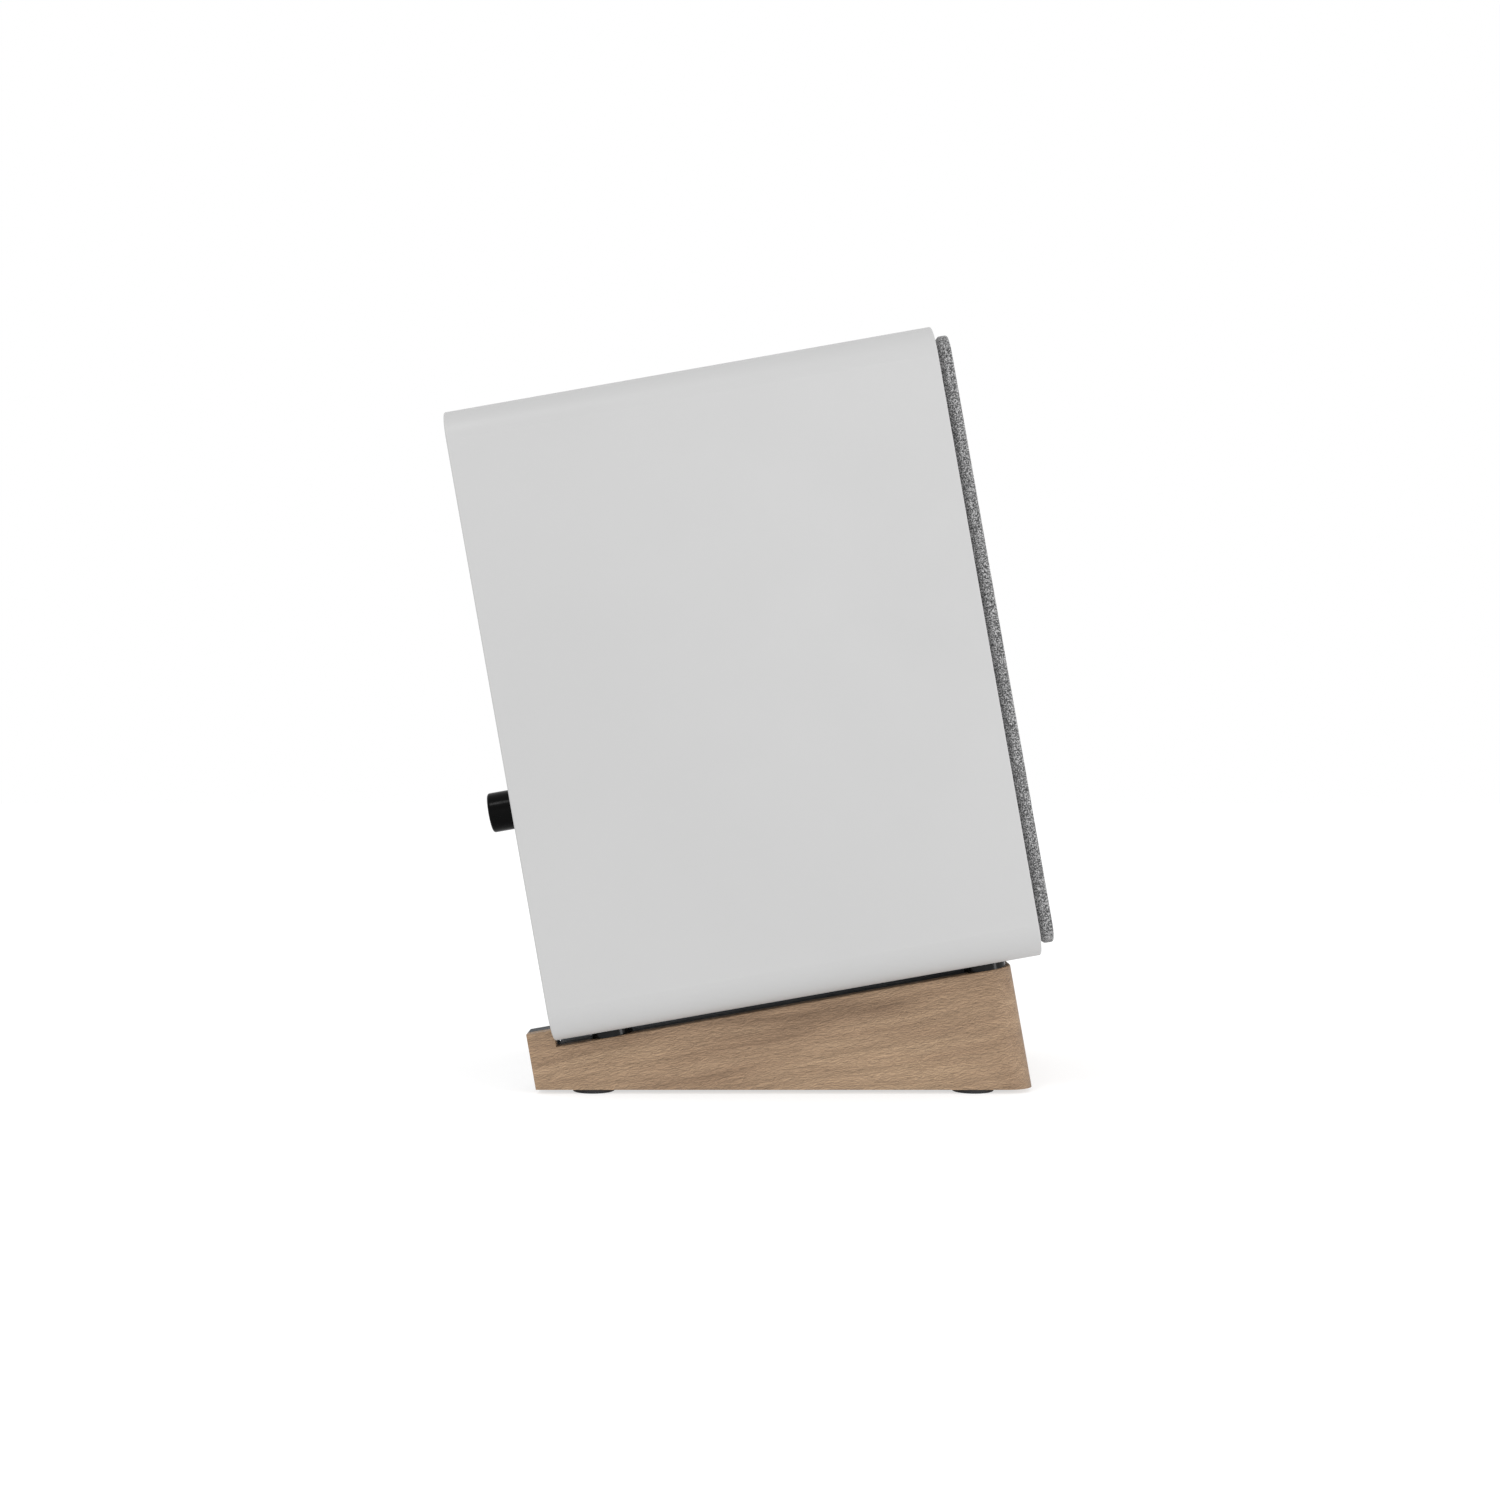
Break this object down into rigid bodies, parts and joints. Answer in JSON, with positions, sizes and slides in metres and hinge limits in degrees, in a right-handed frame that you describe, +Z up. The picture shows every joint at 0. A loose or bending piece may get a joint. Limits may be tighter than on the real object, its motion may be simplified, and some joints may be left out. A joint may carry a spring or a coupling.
{
  "type": "bookshelf speaker",
  "caption": "Powered two-way bookshelf speaker with a fabric grille, rear controls and sockets, leaning back on a wedge-shaped wooden desk stand.",
  "frame": {"origin": "on the table under the middle of the outer box", "axes": "+X across to the right seen from the front, -Y towards the listener, +Z up"},
  "size_m": [0.148, 0.2222, 0.2805],
  "materials": {
    "white_paint": "satin white lacquer over fibreboard",
    "raw_board": "raw fibreboard",
    "wood_veneer": "open-grain light walnut, matt oil",
    "stand_liner": "matt charcoal",
    "black_rubber": "matt",
    "gloss_foot": "polished black",
    "black_plastic": "fine moulded texture",
    "knob_plastic": "smooth semi-gloss black",
    "grille_fabric": "grey melange plain weave",
    "cone_paper": "coated fibre cone",
    "dome_silk": "doped silk",
    "basket_steel": "black powder coat",
    "steel": "zinc plated",
    "ferrite": "sintered ferrite",
    "copper": "enamelled winding",
    "spider_cloth": "resin-treated cotton",
    "magnet_nickel": "nickel plated",
    "black_screw": "black oxide",
    "plate_black": "black anodised, fine brushed",
    "nickel": "nickel plated brass",
    "red_plastic": "moulded",
    "white_plastic": "moulded",
    "led_lens": "diffused lens",
    "board_green": "glass-epoxy board",
    "heatsink_alu": "extruded",
    "capacitor_sleeve": "shrink sleeve",
    "transformer_tape": "polyester tape",
    "foam": "open-cell foam",
    "lead_jacket": "soft jacket"
  },
  "bodies": {
    "stand": {"stand_wood_band": "wood_veneer", "stand_inner_frame": "stand_liner", "stand_feet": "black_rubber"},
    "cabinet": {"cabinet_sleeve": "white_paint", "front_baffle": "white_paint", "rear_panel": "white_paint", "shelf_brace": "raw_board", "damping_foam": "foam", "baffle_magnets": "magnet_nickel", "cabinet_feet": "gloss_foot", "port_tube": "black_plastic", "woofer_basket": "basket_steel", "woofer_gasket": "foam", "woofer_surround": "black_rubber", "woofer_spider": "spider_cloth", "woofer_top_plate": "steel", "woofer_magnet": "ferrite", "woofer_yoke": "steel", "woofer_terminals": "black_plastic", "tweeter_faceplate": "black_plastic", "tweeter_surround": "dome_silk", "tweeter_spacer": "black_plastic", "tweeter_top_plate": "steel", "tweeter_magnet": "ferrite", "tweeter_yoke": "steel", "driver_screws": "black_screw", "amp_plate": "plate_black", "amp_plate_screws": "black_screw", "volume_pot": "steel", "panel_nuts": "nickel", "rca_insert_white": "white_plastic", "rca_insert_red": "red_plastic", "rca_shells": "nickel", "aux_jack": "black_plastic", "terminal_housing": "black_plastic", "terminal_contacts": "nickel", "switch_housing": "black_plastic", "mains_inlet": "black_plastic", "inlet_pins": "nickel", "button_switch": "black_plastic", "status_led": "led_lens", "amp_board": "board_green", "heatsink": "heatsink_alu", "capacitors": "capacitor_sleeve", "transformer": "transformer_tape", "driver_leads": "lead_jacket"},
    "grille": {"grille_frame": "black_plastic", "grille_cloth": "grille_fabric", "grille_magnets": "magnet_nickel"},
    "woofer_diaphragm": {"woofer_cone": "cone_paper", "woofer_dust_cap": "cone_paper", "woofer_voice_coil": "copper"},
    "tweeter_diaphragm": {"tweeter_dome": "dome_silk", "tweeter_voice_coil": "copper"},
    "volume_control": {"volume_knob": "knob_plastic", "volume_shaft": "nickel"},
    "power_rocker": {"power_rocker": "knob_plastic"},
    "lever_red": {"terminal_lever_red": "red_plastic"},
    "lever_black": {"terminal_lever_black": "black_plastic"},
    "input_button": {"input_button": "knob_plastic"}
  },
  "joints": [
    {"name": "cabinet_lift", "type": "slide", "parent": "stand", "child": "cabinet", "axis": [0, 0.1736, 0.9848], "range_m": [0, 0.06]},
    {"name": "grille_pull", "type": "slide", "parent": "cabinet", "child": "grille", "axis": [0, -0.9848, 0.1736], "range_m": [0, 0.05]},
    {"name": "woofer_excursion", "type": "slide", "parent": "cabinet", "child": "woofer_diaphragm", "axis": [0, -0.9848, 0.1736], "range_m": [-0.003, 0.003], "stiffness_N_per_m": 1100, "deforming": ["woofer_surround", "woofer_spider"]},
    {"name": "tweeter_excursion", "type": "slide", "parent": "cabinet", "child": "tweeter_diaphragm", "axis": [0, -0.9848, 0.1736], "range_m": [-0.0003, 0.0003], "stiffness_N_per_m": 3000, "deforming": ["tweeter_surround"]},
    {"name": "volume_turn", "type": "hinge", "parent": "cabinet", "child": "volume_control", "pos_m": [0, 0.08554, 0.10395], "axis": [0, 0.9848, -0.1736], "range_deg": [0, 300]},
    {"name": "power_rock", "type": "hinge", "parent": "cabinet", "child": "power_rocker", "pos_m": [0.001, 0.07787, 0.06733], "axis": [1, 0, 0], "range_deg": [-18, 0]},
    {"name": "lever_red_press", "type": "hinge", "parent": "cabinet", "child": "lever_red", "pos_m": [-0.018, 0.07372, 0.05994], "axis": [1, 0, 0], "range_deg": [0, 20], "stiffness_Nm_per_rad": 0.08, "springref_deg": -5.73},
    {"name": "lever_black_press", "type": "hinge", "parent": "cabinet", "child": "lever_black", "pos_m": [-0.034, 0.07372, 0.05994], "axis": [1, 0, 0], "range_deg": [0, 20], "stiffness_Nm_per_rad": 0.08, "springref_deg": -5.73},
    {"name": "input_press", "type": "slide", "parent": "cabinet", "child": "input_button", "axis": [0, -0.9848, 0.1736], "range_m": [0, 0.0006], "stiffness_N_per_m": 900, "springref_m": -0.0003}
  ]
}
